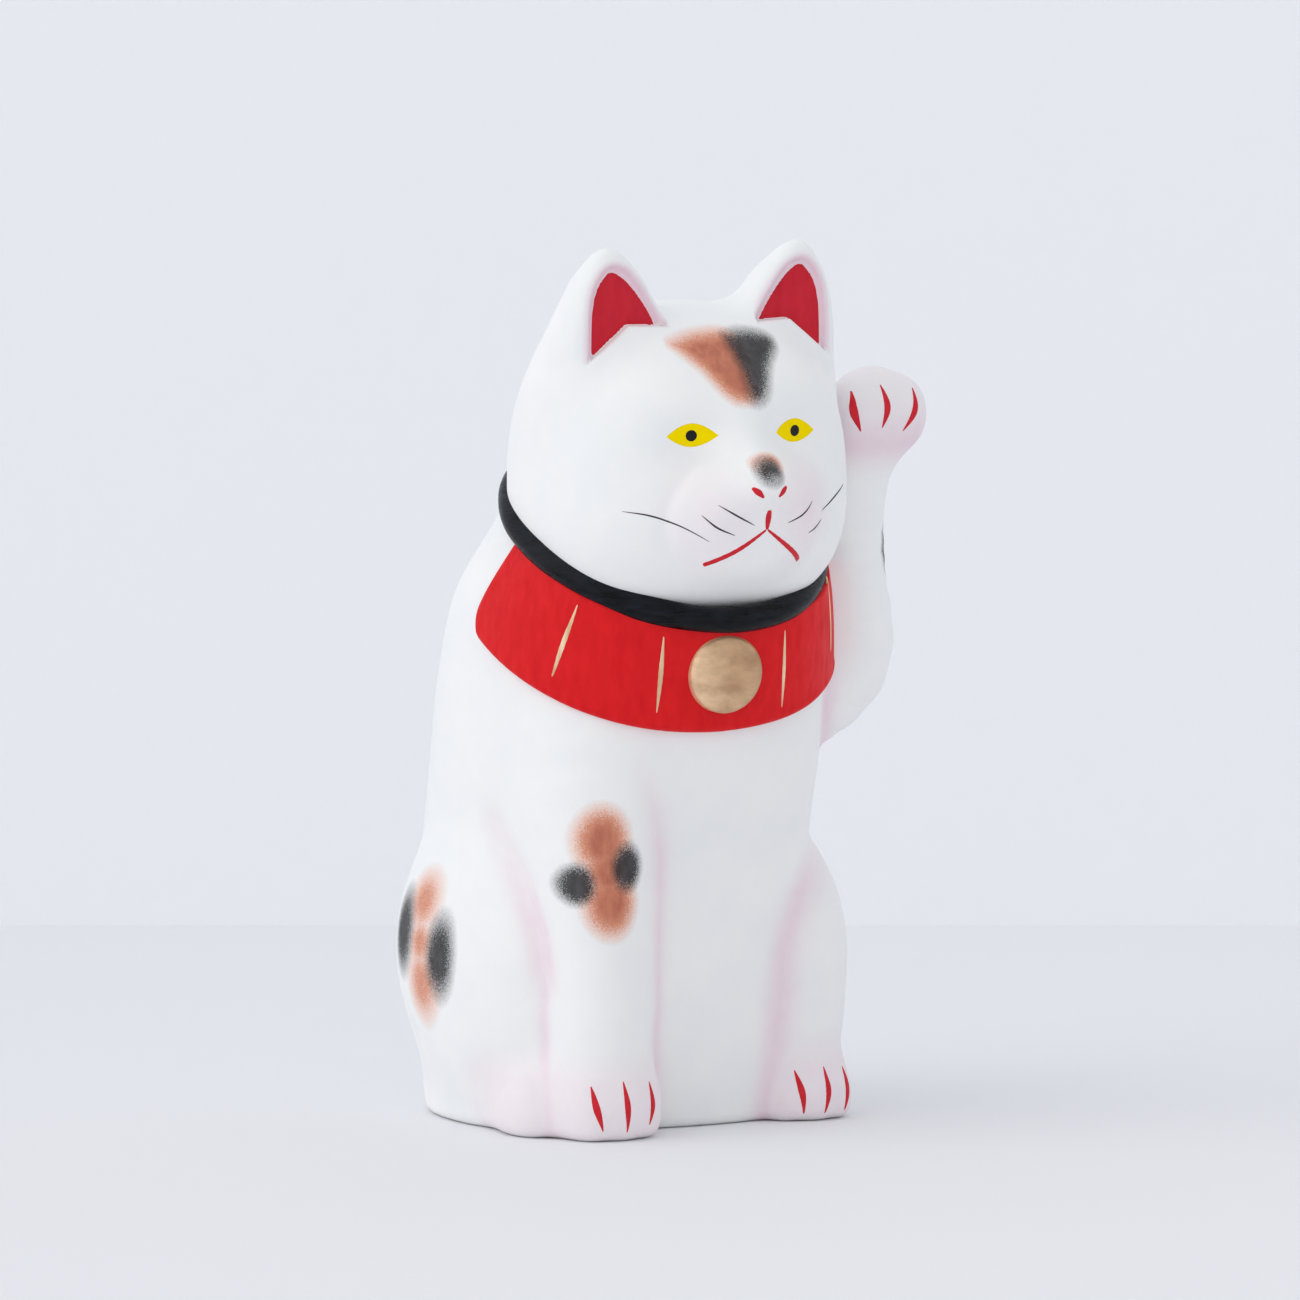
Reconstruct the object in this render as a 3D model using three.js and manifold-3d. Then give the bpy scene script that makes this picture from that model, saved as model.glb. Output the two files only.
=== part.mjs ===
// A seated, press-moulded earthenware beckoning cat, 208 mm tall, as the clay pieces that are luted together
// before firing: two torso shells and a base plate, two head shells, two ears, four legs, a tail, and the
// collar cord, bib and bell that are laid over the neck.
//
// Millimetres, +Z up. The cat faces -Y and its own left side is +X. The origin is the middle of the base.

import * as THREE from "three";
import { ConvexGeometry } from "three/addons/geometries/ConvexGeometry.js";
import { mergeVertices } from "three/addons/utils/BufferGeometryUtils.js";
import Module from "manifold-3d";

const wasm = await Module();
wasm.setup();

// Driving dimensions

const GAP = 0.3; // slip joint between two luted pieces
const HALF_GAP = GAP / 2;
const WALL = 5; // thickness of a pressed shell
const FAR = 400; // size of a box that stands for a half space
const BODY_POWER = 2.3; // squareness of the torso's sections: 2 is an ellipse
const HEAD_POWER = 2.5;

// The torso from the floor up: each section's middle in y, its half width, and its reach forwards and back.
const TORSO_SECTIONS = [
  { z: 0, middle: 3, side: 44.5, front: 33.5, back: 44 },
  { z: 20, middle: 3, side: 45.5, front: 37.5, back: 47 },
  { z: 43, middle: 4.5, side: 45, front: 42, back: 47.5 },
  { z: 65, middle: 6, side: 42.8, front: 46.5, back: 46 },
  { z: 85, middle: 1.5, side: 43, front: 46.5, back: 46.4 },
  { z: 104, middle: -1, side: 42.5, front: 48, back: 45 },
  { z: 123, middle: -6, side: 40, front: 45.5, back: 45.6 },
  { z: 141, middle: -14, side: 34, front: 39, back: 40 },
  { z: 162, middle: -22, side: 29, front: 31, back: 34 },
];
const TORSO_RINGS = 18;
const TORSO_SIDES = 40;

// The neck plane leans forwards. The collar cord lies in it, and the bib hangs parallel to it.
const NECK = new THREE.Vector3(0, -18, 138.9);
const NECK_LEAN = Math.atan(0.5);

const HEAD = { centre: [0, -26, 150], side: 37.6, front: 36, back: 39, up: 43, down: 31.5 };
const MUZZLE = { z: 146, forward: 12.2, halfWidth: 17, halfHeight: 14.5 };
const BROW = { z: 171, forward: 3, halfWidth: 26, halfHeight: 9 };
const HEAD_SEAM_Y = -22;

const EAR = {
  line: [[19.8, -25.5, 172], [22.2, -32.2, 188.5], [23.5, -35.8, 200.5], [24.3, -37.4, 204.4]],
  radii: [18, 13.5, 8.6, 3.8],
};
// The ear's flat front face, and the rim of the shallow dish pressed into it, as [x, z].
const EAR_FACE_Y = -41.8;
const EAR_DISH = {
  rim: [[24.9, 204.8], [29.6, 199.8], [31.8, 192.5], [31.6, 178], [11.2, 178], [11.2, 188.8], [16, 197.3]],
  middle: [23, 188],
  depth: 2,
  bevel: 0.86, // size of the dish's floor, as a share of its rim
};

const COLLAR = { side: 35.5, front: 39.5, back: 37.5, tube: 3.2 };
const BIB = { thickness: 2.6, top: -2.2, hem: -26.6, end: 1.5, corner: 7 };
const BELL = { x: -1, z: 109, face: -52.8, radius: 9.4, rim: 1.4, crown: 2.6, depth: 8 };

const THIGH = { centre: [30.5, 1, 37], radii: [21.5, 37, 36] };
const HIND_PAW = { centre: [32.8, -21, 5.5], radii: [12.2, 14.8, 13.4] };
const FORELEG = {
  line: [[-22.5, -22, 100], [-24, -30, 78], [-24.7, -33.3, 42], [-24, -33.8, 10]],
  radii: [10, 13.2, 11.7, 11.6],
};
const FORE_PAW = { centre: [-23.8, -34, 5], radii: [12.8, 13.4, 13.8] };
const RAISED = {
  line: [[36, -12, 94], [43.8, -17, 107.6], [44.4, -18.8, 127], [46.1, -20.3, 142], [49, -21.4, 156]],
  radii: [11, 15.5, 12.4, 9.7, 9],
};
const RAISED_PAW = { centre: [52.4, -23.4, 164.8], radii: [12.2, 11, 12] };
const TAIL = {
  line: [[-3, 44, 9], [3, 46.5, 17], [9, 46, 29], [9, 44, 42]],
  radii: [7, 8, 7.5, 6],
};
const BASE_PLATE = { thickness: 6, ventRadius: 6, ventY: 20 };

// Solids from three.js geometries

function solidOf(geometry) {
  const bare = geometry.clone();
  bare.deleteAttribute("normal");
  bare.deleteAttribute("uv");
  const merged = mergeVertices(bare, 1e-4);
  const vertProperties = merged.getAttribute("position").array;
  const triVerts = new Uint32Array(merged.index.array);
  return new wasm.Manifold(new wasm.Mesh({ numProp: 3, vertProperties, triVerts }));
}

function geometryOf(solid) {
  const mesh = solid.getMesh();
  const geometry = new THREE.BufferGeometry();
  geometry.setAttribute("position", new THREE.BufferAttribute(new Float32Array(mesh.vertProperties), 3));
  geometry.setIndex(new THREE.BufferAttribute(new Uint32Array(mesh.triVerts), 1));
  geometry.computeVertexNormals();
  return geometry;
}

// Moves every vertex of a geometry: place changes the vector it is given.
function reshaped(geometry, place) {
  const position = geometry.getAttribute("position");
  const vertex = new THREE.Vector3();
  for (let i = 0; i < position.count; i += 1) {
    place(vertex.fromBufferAttribute(position, i));
    position.setXYZ(i, vertex.x, vertex.y, vertex.z);
  }
  return geometry;
}

// How far from its centre a unit superellipsoid reaches, along the direction (x, y, z).
function reach(x, y, z, power) {
  return (Math.abs(x) ** power + Math.abs(y) ** power + Math.abs(z) ** power) ** (-1 / power);
}

// Turns a profile of [radius, height] points about Z.
function lathed(points, sides) {
  const profile = points.map(([radius, height]) => new THREE.Vector2(radius, height));
  return new THREE.LatheGeometry(profile, sides).rotateX(Math.PI / 2);
}

function unitBall(around, high) {
  return new THREE.SphereGeometry(1, around, high).rotateX(Math.PI / 2);
}

function ellipsoid({ centre, radii }, grow = 0, around = 20, high = 12) {
  const [rx, ry, rz] = radii.map((radius) => radius + grow);
  return solidOf(unitBall(around, high).scale(rx, ry, rz).translate(...centre));
}

const clamped = (value) => Math.min(1, Math.max(0, value));

// A round limb with its own radius at each point of its centre line, closed by a round cap at each end.
function limb({ line, radii }, grow = 0, sides = 18, rings = 11, capRings = 3) {
  const centreLine = new THREE.CatmullRomCurve3(line.map((point) => new THREE.Vector3(...point)));
  const thickness = new THREE.SplineCurve(radii.map((radius, i) => new THREE.Vector2(i, radius)));
  const profile = [[0, -1]];
  for (let i = 1; i <= capRings; i += 1) {
    const angle = (i / capRings) * (Math.PI / 2);
    profile.push([Math.sin(angle), -Math.cos(angle)]);
  }
  for (let i = 1; i <= rings; i += 1) profile.push([1, i / rings]);
  for (let i = 1; i < capRings; i += 1) {
    const angle = (i / capRings) * (Math.PI / 2);
    profile.push([Math.cos(angle), 1 + Math.sin(angle)]);
  }
  profile.push([0, 2]);
  const sideways = new THREE.Vector3();
  const outwards = new THREE.Vector3();
  return solidOf(
    reshaped(lathed(profile, sides), (v) => {
      const along = clamped(v.z);
      const pastTheEnd = v.z - along;
      const radius = thickness.getPoint(along).y + grow;
      const tangent = centreLine.getTangent(along);
      sideways.set(1, 0, 0).addScaledVector(tangent, -tangent.x).normalize();
      outwards.crossVectors(tangent, sideways);
      const { x, y } = v;
      v.copy(centreLine.getPoint(along));
      v.addScaledVector(sideways, x * radius);
      v.addScaledVector(outwards, y * radius);
      v.addScaledVector(tangent, pastTheEnd * radius);
    }),
  );
}

// Keeps the largest body of a cut piece, and drops the crumbs that the cut leaves.
function largest(solid) {
  return solid.decompose().reduce((best, body) => (body.volume() > best.volume() ? body : best));
}

// The half spaces that cut the pieces

const upwards = new THREE.Vector3(0, 0, 1);
const downwards = new THREE.Vector3(0, 0, -1);
const backwards = new THREE.Vector3(0, 1, 0);
const forwards = new THREE.Vector3(0, -1, 0);
const neckUp = new THREE.Vector3(0, -Math.sin(NECK_LEAN), Math.cos(NECK_LEAN));
const neckDown = neckUp.clone().negate();
const neckBack = new THREE.Vector3(0, Math.cos(NECK_LEAN), Math.sin(NECK_LEAN));

// The half of space on the side of point that normal points away from.
function halfSpace(point, normal) {
  const box = new THREE.BoxGeometry(2 * FAR, 2 * FAR, 2 * FAR).translate(0, 0, -FAR);
  const turn = new THREE.Quaternion().setFromUnitVectors(upwards, normal);
  return solidOf(box.applyQuaternion(turn).translate(point.x, point.y, point.z));
}

const underNeck = (offset) => halfSpace(NECK.clone().addScaledVector(neckUp, offset), neckUp);
const overNeck = (offset) => halfSpace(NECK.clone().addScaledVector(neckUp, offset), neckDown);
const inFrontOf = (y) => halfSpace(new THREE.Vector3(0, y, 0), backwards);
const behind = (y) => halfSpace(new THREE.Vector3(0, y, 0), forwards);
const aboveHeight = (z) => halfSpace(new THREE.Vector3(0, 0, z), downwards);
const belowHeight = (z) => halfSpace(new THREE.Vector3(0, 0, z), upwards);

// Torso and base plate

function sectionCurve(pick) {
  return new THREE.CatmullRomCurve3(TORSO_SECTIONS.map(pick), false, "catmullrom", 0.5);
}
const torsoMiddle = sectionCurve((s) => new THREE.Vector3(s.middle, s.side, s.z));
const torsoReach = sectionCurve((s) => new THREE.Vector3(s.front, s.back, s.z));

// The torso, grown outwards by grow, or shrunk when grow is negative. It runs past the floor by floorDepth.
function torsoSolid(grow = 0, floorDepth = 0) {
  const profile = [[0, 0]];
  for (let i = 0; i <= TORSO_RINGS; i += 1) profile.push([1, i / TORSO_RINGS]);
  profile.push([0, 1]);
  return solidOf(
    reshaped(lathed(profile, TORSO_SIDES), (v) => {
      const along = clamped(v.z);
      const { x: middle, y: side, z } = torsoMiddle.getPoint(along);
      const { x: front, y: back } = torsoReach.getPoint(along);
      const scale = Math.hypot(v.x, v.y) > 0.5 ? reach(v.x, v.y, 0, BODY_POWER) : 0;
      const depth = v.y < 0 ? front : back;
      const x = v.x * scale * (side + grow);
      const y = middle + v.y * scale * (depth + grow);
      v.set(x, y, along < 1e-6 ? z - floorDepth : z);
    }),
  );
}

const torso = torsoSolid();
const torsoWithGap = torsoSolid(GAP);

function torsoPieces() {
  const shell = torso.subtract(torsoSolid(-WALL, 1)).intersect(underNeck(-HALF_GAP));
  const vent = lathed([[0, -9], [BASE_PLATE.ventRadius, -9], [BASE_PLATE.ventRadius, 9], [0, 9]], 24);
  const plate = torsoSolid(-WALL - GAP).intersect(belowHeight(BASE_PLATE.thickness));
  return {
    torso_front_shell: shell.intersect(inFrontOf(-HALF_GAP)),
    torso_back_shell: shell.intersect(behind(HALF_GAP)),
    base_plate: plate.subtract(solidOf(vent.translate(0, BASE_PLATE.ventY, 0))),
  };
}

// Head: a squarish ball cut off by the neck plane, with a muzzle and a brow that swell out of its front

function swelling({ z, forward, halfWidth, halfHeight }, vertex) {
  return forward * Math.exp(-((vertex.x / halfWidth) ** 4) - Math.abs((vertex.z - z) / halfHeight) ** 2.4);
}

function headSolid(grow = 0, around = 48, high = 28) {
  const skull = reshaped(unitBall(around, high), (v) => {
    const scale = reach(v.x, v.y, v.z, HEAD_POWER);
    const facing = clamped(-v.y * 2);
    const depth = v.y < 0 ? HEAD.front : HEAD.back;
    const height = v.z < 0 ? HEAD.down : HEAD.up;
    v.set(v.x * scale * (HEAD.side + grow), v.y * scale * (depth + grow), v.z * scale * (height + grow));
    v.add(headCentre);
    v.y -= facing * (swelling(MUZZLE, v) + swelling(BROW, v));
  });
  return solidOf(skull);
}

const headCentre = new THREE.Vector3(...HEAD.centre);
const headWithGap = headSolid(GAP).intersect(overNeck(-HALF_GAP));

function headPieces() {
  const shell = headSolid().subtract(headSolid(-WALL, 32, 18)).intersect(overNeck(HALF_GAP));
  return {
    head_front_shell: shell.intersect(inFrontOf(HEAD_SEAM_Y - HALF_GAP)),
    head_back_shell: shell.intersect(behind(HEAD_SEAM_Y + HALF_GAP)),
  };
}

// Ears: blunt cones with a flat face and a shallow dish pressed into it

function mirrored(points, side) {
  return points.map(([x, y, z]) => [side * x, y, z]);
}

function earDish(side) {
  const { rim, middle, depth, bevel } = EAR_DISH;
  const [middleX, middleZ] = middle;
  const corners = [];
  for (const [x, z] of rim) {
    corners.push(new THREE.Vector3(side * x, EAR_FACE_Y - 20, z));
    corners.push(new THREE.Vector3(side * x, EAR_FACE_Y, z));
    const floorX = middleX + (x - middleX) * bevel;
    const floorZ = middleZ + (z - middleZ) * bevel;
    corners.push(new THREE.Vector3(side * floorX, EAR_FACE_Y + depth, floorZ));
  }
  return solidOf(new ConvexGeometry(corners));
}

function earPiece(side) {
  const cone = limb({ line: mirrored(EAR.line, side), radii: EAR.radii }, 0, 24, 10);
  const pressed = cone.intersect(behind(EAR_FACE_Y)).subtract(earDish(side));
  return largest(pressed.subtract(headWithGap));
}

// Legs and tail: round limbs that stand proud of the torso

const standingLeg = (grow = 0) => limb(FORELEG, grow).add(ellipsoid(FORE_PAW, grow));
const raisedLeg = (grow = 0) => limb(RAISED, grow).add(ellipsoid(RAISED_PAW, grow));

function hindLeg(side) {
  const at = ({ centre: [x, y, z], radii }) => ({ centre: [side * x, y, z], radii });
  const thighAndPaw = ellipsoid(at(THIGH), 0, 28, 16).add(ellipsoid(at(HIND_PAW)));
  return thighAndPaw.intersect(aboveHeight(0)).subtract(torsoWithGap);
}

function legPieces() {
  return {
    standing_foreleg: largest(standingLeg().intersect(aboveHeight(0)).subtract(torsoWithGap)),
    left_hind_leg: largest(hindLeg(1)),
    right_hind_leg: largest(hindLeg(-1).subtract(standingLeg(GAP))),
    raised_foreleg: largest(raisedLeg().subtract(torsoWithGap).subtract(headWithGap).subtract(cord(GAP))),
    tail: largest(limb(TAIL).subtract(torsoWithGap)),
  };
}

// Collar cord, bib and bell

// Turns a point given across the neck plane, back along it and up from it into the cat's frame.
function fromNeck(v, across, back, up) {
  v.copy(NECK).addScaledVector(neckBack, back).addScaledVector(neckUp, up);
  v.x += across;
}

// The cord is an oval ring that lies in the neck plane.
function cord(grow = 0) {
  const tube = COLLAR.tube + grow;
  const ring = new THREE.TorusGeometry(1, 0.5, 8, 44);
  return solidOf(
    reshaped(ring, (v) => {
      const angle = Math.atan2(v.y, v.x);
      const outwards = (Math.hypot(v.x, v.y) - 1) * 2 * tube;
      const length = Math.sin(angle) < 0 ? COLLAR.front : COLLAR.back;
      const across = Math.cos(angle) * (COLLAR.side + outwards);
      const back = Math.sin(angle) * (length + outwards);
      fromNeck(v, across, back, v.z * 2 * tube);
    }),
  );
}

// A bar pushed across the neck from side to side. Its section is the bib seen from the side, with a round
// lower corner.
function bibBar() {
  const { corner, end, hem, top } = BIB;
  const outline = new THREE.Shape();
  outline.moveTo(-80, top);
  outline.lineTo(-80, hem);
  outline.lineTo(end - corner, hem);
  outline.absarc(end - corner, hem + corner, corner, -Math.PI / 2, 0, false);
  outline.lineTo(end, top);
  const bar = new THREE.ExtrudeGeometry(outline, { depth: 160, bevelEnabled: false, curveSegments: 5 });
  return solidOf(reshaped(bar, (v) => fromNeck(v, v.z - 80, v.x, v.y)));
}

function bib() {
  return torsoSolid(BIB.thickness)
    .intersect(bibBar())
    .subtract(torsoWithGap)
    .subtract(raisedLeg(GAP))
    .subtract(cord(GAP))
    .subtract(headWithGap);
}

// The bell is a domed disc whose back is cut to the bib behind it.
function bell() {
  const { radius, rim, crown, depth, x, z, face } = BELL;
  const edge = [[radius, -depth], [radius, 0], [radius - rim / 3, rim * 0.7], [radius - rim, rim]];
  const profile = [[0, -depth], ...edge];
  const domeRings = 4;
  for (let i = 1; i < domeRings; i += 1) {
    const share = i / domeRings;
    profile.push([(radius - rim) * (1 - share), rim + (crown - rim) * Math.sin((share * Math.PI) / 2)]);
  }
  profile.push([0, crown]);
  const disc = lathed(profile, 32).rotateX(Math.PI / 2).translate(x, face, z);
  return solidOf(disc).subtract(torsoSolid(BIB.thickness + GAP));
}

function dressPieces() {
  return {
    collar_cord: largest(cord().subtract(torsoWithGap).subtract(headWithGap)),
    bib: bib(),
    bell: bell(),
  };
}

// The cat as a scene graph

const clay = { roughness: 0.75, metalness: 0 };
const MATERIALS = {
  white: new THREE.MeshStandardMaterial({ color: 0xf1f2f2, ...clay }),
  black: new THREE.MeshStandardMaterial({ color: 0x1b1d22, roughness: 0.35, metalness: 0 }),
  red: new THREE.MeshStandardMaterial({ color: 0xc81e22, roughness: 0.5, metalness: 0 }),
  gold: new THREE.MeshStandardMaterial({ color: 0xb08a4f, roughness: 0.4, metalness: 0.8 }),
  bare: new THREE.MeshStandardMaterial({ color: 0xc79b76, roughness: 0.9, metalness: 0 }),
};
const MATERIAL_OF = { collar_cord: "black", bib: "red", bell: "gold", base_plate: "bare" };

const solids = {
  ...torsoPieces(),
  ...headPieces(),
  left_ear: earPiece(1),
  right_ear: earPiece(-1),
  ...legPieces(),
  ...dressPieces(),
};

const cat = new THREE.Group();
cat.name = "beckoning_cat";
for (const [name, solid] of Object.entries(solids)) {
  const mesh = new THREE.Mesh(geometryOf(solid), MATERIALS[MATERIAL_OF[name] ?? "white"]);
  mesh.name = name;
  cat.add(mesh);
}

export default cat;
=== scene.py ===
"""A hand-painted clay beckoning cat, seated, with its own left foreleg raised beside its head.

The clay skin is worked out from one distance field for the head and one for the body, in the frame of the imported
model. Each field becomes a fine mesh, is cut into the model's named pieces along its creases, and each cut piece
becomes a closed shell. Crisp paint, such as the eyes and claws, lies on the skin as thin closed films of its own.
Soft paint, such as the blush and the sprayed patches, is held as point attributes that the skin's material reads.

Lengths are in millimetres until a mesh is made. The cat faces -Y, and its own left side is +X.
"""

import math

import bpy
import numpy as np
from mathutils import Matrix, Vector


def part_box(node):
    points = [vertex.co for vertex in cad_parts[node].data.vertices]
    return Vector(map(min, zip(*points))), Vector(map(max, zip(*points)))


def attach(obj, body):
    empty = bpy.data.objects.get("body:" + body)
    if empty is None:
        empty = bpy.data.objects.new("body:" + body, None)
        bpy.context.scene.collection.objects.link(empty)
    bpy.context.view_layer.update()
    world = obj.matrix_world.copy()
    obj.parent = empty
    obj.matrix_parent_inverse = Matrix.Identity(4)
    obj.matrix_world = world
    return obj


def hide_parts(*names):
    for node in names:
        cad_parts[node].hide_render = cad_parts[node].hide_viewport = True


MM = 0.001
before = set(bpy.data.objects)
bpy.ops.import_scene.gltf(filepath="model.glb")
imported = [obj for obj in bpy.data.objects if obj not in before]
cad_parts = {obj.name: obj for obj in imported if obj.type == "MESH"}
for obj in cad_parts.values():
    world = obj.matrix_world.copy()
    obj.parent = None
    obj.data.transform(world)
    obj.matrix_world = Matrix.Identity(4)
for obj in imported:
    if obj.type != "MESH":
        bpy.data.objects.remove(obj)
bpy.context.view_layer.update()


def box_mm(node):
    """Lowest and highest corner of a CAD node, in millimetres."""
    low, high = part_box(node)
    return np.array(low) / MM, np.array(high) / MM


# ---------------------------------------------------------------- measures

HEAD_STEP = 0.75  # grid pitch of the head's mesh
BODY_STEP = 1.15
SHELL = 3.0  # thickness of a clay shell
EAR_SHELL = 1.2
BASE_WALL = 5.3  # width of the torso's foot outside the base plate

BODY_POWER = 2.3
HEAD_POWER = 2.5
# The torso from the floor up: height, middle in y, half width, reach to the front, reach to the back.
TORSO = np.array(
    [
        (0, 3, 44.5, 33.5, 44),
        (20, 3, 45.5, 37.5, 47),
        (43, 4.5, 45, 42, 47.5),
        (65, 6, 42.8, 46.5, 46),
        (85, 1.5, 43, 46.5, 46.4),
        (104, -1, 42.5, 48, 45),
        (123, -6, 40, 45.5, 45.6),
        (141, -14, 34, 39, 40),
        (162, -22, 29, 31, 34),
    ],
    float,
)

NECK = np.array([0, -18, 138.9])
NECK_LEAN = math.atan(0.5)
NECK_UP = np.array([0, -math.sin(NECK_LEAN), math.cos(NECK_LEAN)])
NECK_BACK = np.array([0, math.cos(NECK_LEAN), math.sin(NECK_LEAN)])

HEAD_CENTRE = np.array([0, -26, 150.0])
HEAD_SIDE, HEAD_FRONT, HEAD_BACK, HEAD_TOP, HEAD_UNDER = 37.4, 35.8, 38.8, 43, 31.5
HEAD_SEAM_Y = -22

COLLAR_SIDE, COLLAR_FRONT, COLLAR_BACK, COLLAR_TUBE = 35.5, 39.5, 37.5, 3.1
COLLAR_FULL_AT = math.radians(210)  # where the roll is thickest, by the cat's right cheek
COLLAR_FULLER = 0.9

# The bib, in the neck's frame: heights of its top and hem, how far back its ends lie, and its corners' radius.
BIB_THICK, BIB_TOP, BIB_HEM, BIB_END, BIB_CORNER = 2.3, -1.5, -26.6, 1.5, 7.0
BIB_RISE = 2.0  # how much higher its hem is on the cat's left
BIB_ROUNDING = 1.7  # width of its rounded edge
BIB_LIP = 0.25  # a low ridge just inside that edge


# ---------------------------------------------------------------- distance fields

NEAR = 9.0  # how far outside its box a limb's field is still worked out
FAR = 40.0  # what stands in for it beyond that


def ramp(value, zero_at, one_at):
    """0 up to one value and 1 from the other on, with a straight rise between them."""
    return np.clip((value - zero_at) / (one_at - zero_at), 0, 1)


def fade(distance, width):
    """1 at zero distance, falling to 0 a few widths away."""
    return np.exp(-((distance / width) ** 2))


def smooth_min(a, b, k):
    """The union of two fields, rounded over a width k."""
    h = np.maximum(k - np.abs(a - b), 0) / k
    return np.minimum(a, b) - h * h * k / 4


def smooth_max(a, b, k):
    """What two fields share, rounded over a width k."""
    return -smooth_min(-a, -b, k)


def ellipsoid(p, centre, radii):
    q = (p - np.asarray(centre, p.dtype)) / np.asarray(radii, p.dtype)
    k0 = np.sqrt((q * q).sum(1)) + 1e-9
    k1 = np.sqrt(((q / np.asarray(radii, p.dtype)) ** 2).sum(1)) + 1e-9
    return k0 * (k0 - 1) / k1


def curve_points(points, count):
    """Points along a Catmull-Rom curve through the given points. Any number of columns is carried along."""
    points = np.asarray(points, float)
    ends = np.vstack([2 * points[0] - points[1], points, 2 * points[-1] - points[-2]])
    places = np.linspace(0, len(points) - 1, count)
    index = np.minimum(places.astype(int), len(points) - 2)
    t = (places - index)[:, None]
    a, b, c, d = (ends[index + i] for i in range(4))
    return 0.5 * (2 * b + (c - a) * t + (2 * a - 5 * b + 4 * c - d) * t**2 + (3 * b - a - 3 * c + d) * t**3)


def limb(p, line, radii, count=14):
    """A round limb along a curve, with a radius at each of the curve's points."""
    stations = curve_points(np.column_stack([line, radii]), count).astype(p.dtype)
    best = np.full(len(p), 1e9, p.dtype)
    for start, end in zip(stations[:-1], stations[1:]):
        along = end[:3] - start[:3]
        t = np.clip((p - start[:3]) @ along / (along @ along), 0, 1)
        gap = p - start[:3] - t[:, None] * along
        best = np.minimum(best, np.sqrt((gap * gap).sum(1)) - start[3] - t * (end[3] - start[3]))
    return best


def within(p, low, high, shape):
    """A shape's field, worked out only near the box that holds it. Further off it is simply FAR."""
    near = ((p > np.array(low) - NEAR) & (p < np.array(high) + NEAR)).all(1)
    gap = np.full(len(p), FAR, p.dtype)
    if near.any():
        gap[near] = shape(p[near])
    return gap


def superellipse_gap(across, along, out_across, out_along, power):
    """Distance outside a superellipse, measured towards its centre."""
    reach = (np.abs(across / out_across) ** power + np.abs(along / out_along) ** power) ** (1 / power) + 1e-6
    return np.hypot(across, along) * (1 - 1 / reach)


def torso(p):
    z = np.clip(p[:, 2], TORSO[0, 0], TORSO[-1, 0])
    fine = curve_points(TORSO, 97)
    middle, side, front, back = (np.interp(z, fine[:, 0], fine[:, i]).astype(p.dtype) for i in range(1, 5))
    y = p[:, 1] - middle
    gap = superellipse_gap(p[:, 0], y, side, np.where(y < 0, front, back), BODY_POWER)
    return smooth_max(gap, p[:, 2] - TORSO[-1, 0], 12)


def paired(p, side):
    """Points mirrored for the cat's right side, so that each pair of pieces has one shape."""
    return p * np.array([side, 1, 1], p.dtype)


def hind_leg(p, side):
    """A thigh, the shin that swells below it, and a paw with three toes. The right thigh starts further back."""
    q = paired(p, side)
    drawn_back = 2.4 if side < 0 else 0.0
    leaning = q.copy()
    leaning[:, 1] -= 0.03 * drawn_back * (q[:, 2] - 37.5)
    thigh = ellipsoid(leaning, (30.5, 2.4 + drawn_back, 37.5), (21.3, 37.2 - drawn_back, 34.9))
    shin = ellipsoid(q, (30.2, -6 + drawn_back, 20), (17.2, 27 - drawn_back, 21))
    thigh = smooth_min(thigh, shin, 6)
    paw = ellipsoid(q, (32.8, -20.2, 5.5), (11.6, 14.6, 13.4))
    for dx in (-6.4, 0, 6.4):
        toe = ellipsoid(q, (32.8 + dx, -27 + 1.2 * abs(dx) / 6, 5), (4.6, 7.4, 10))
        paw = smooth_min(paw, toe, 4)
    return smooth_min(thigh, paw, 5)


def standing_leg(p):
    line = [(-22.5, -22, 100), (-24, -30, 78), (-24.7, -33.3, 42), (-24, -33.8, 10)]
    leg = limb(p, line, [10, 13.2, 11.6, 11.6])
    paw = ellipsoid(p, (-24, -33.4, 5.5), (12.2, 12.8, 13.6))
    for dx in (-6.6, 0, 6.6):
        toe = ellipsoid(p, (-23.8 + dx, -38.6 + 0.12 * dx + 0.2 * abs(dx), 5.5), (4.8, 7.6, 10.4))
        paw = smooth_min(paw, toe, 4)
    return smooth_min(leg, paw, 6)


def raised_leg(p):
    line = [(36, -12, 94), (43.8, -17, 107.6), (44.4, -18.8, 127), (46.1, -20.3, 142), (49, -21.4, 156)]
    leg = limb(p, line, [11, 14.9, 12.2, 9.7, 9.0])
    paw = ellipsoid(p, (52.4, -22.2, 163.6), (11.2, 10, 11.6))
    for dx in (-6.4, 0.4, 6.8):
        toe = ellipsoid(p, (52.4 + dx, -26.2, 166.4 - abs(dx) * 0.25), (4.6, 6.2, 7.4))
        paw = smooth_min(paw, toe, 4)
    return smooth_min(leg, paw, 5)


def tail(p):
    line = [(-3, 44, 10), (3, 46, 18), (9, 46, 30), (9, 43.6, 41)]
    return limb(p, line, [6.4, 7.6, 7.2, 5.6])


# Each limb of the body: its field, its box's two corners, and its usual rounding into the body.
BODY_PARTS = {
    "standing_foreleg": (standing_leg, (-40, -50, -10), (-9, -10, 110), 5),
    "left_hind_leg": (lambda p: hind_leg(p, 1), (8, -40, -10), (53, 40, 74), 4.5),
    "right_hind_leg": (lambda p: hind_leg(p, -1), (-53, -40, -10), (-8, 40, 74), 4.5),
    "raised_foreleg": (raised_leg, (24, -36, 84), (68, 2, 180), 6),
    "tail": (tail, (-12, 35, 0), (18, 56, 48), 5),
}


def body_part(name, p):
    shape, low, high, _ = BODY_PARTS[name]
    return within(p, low, high, shape)


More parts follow.
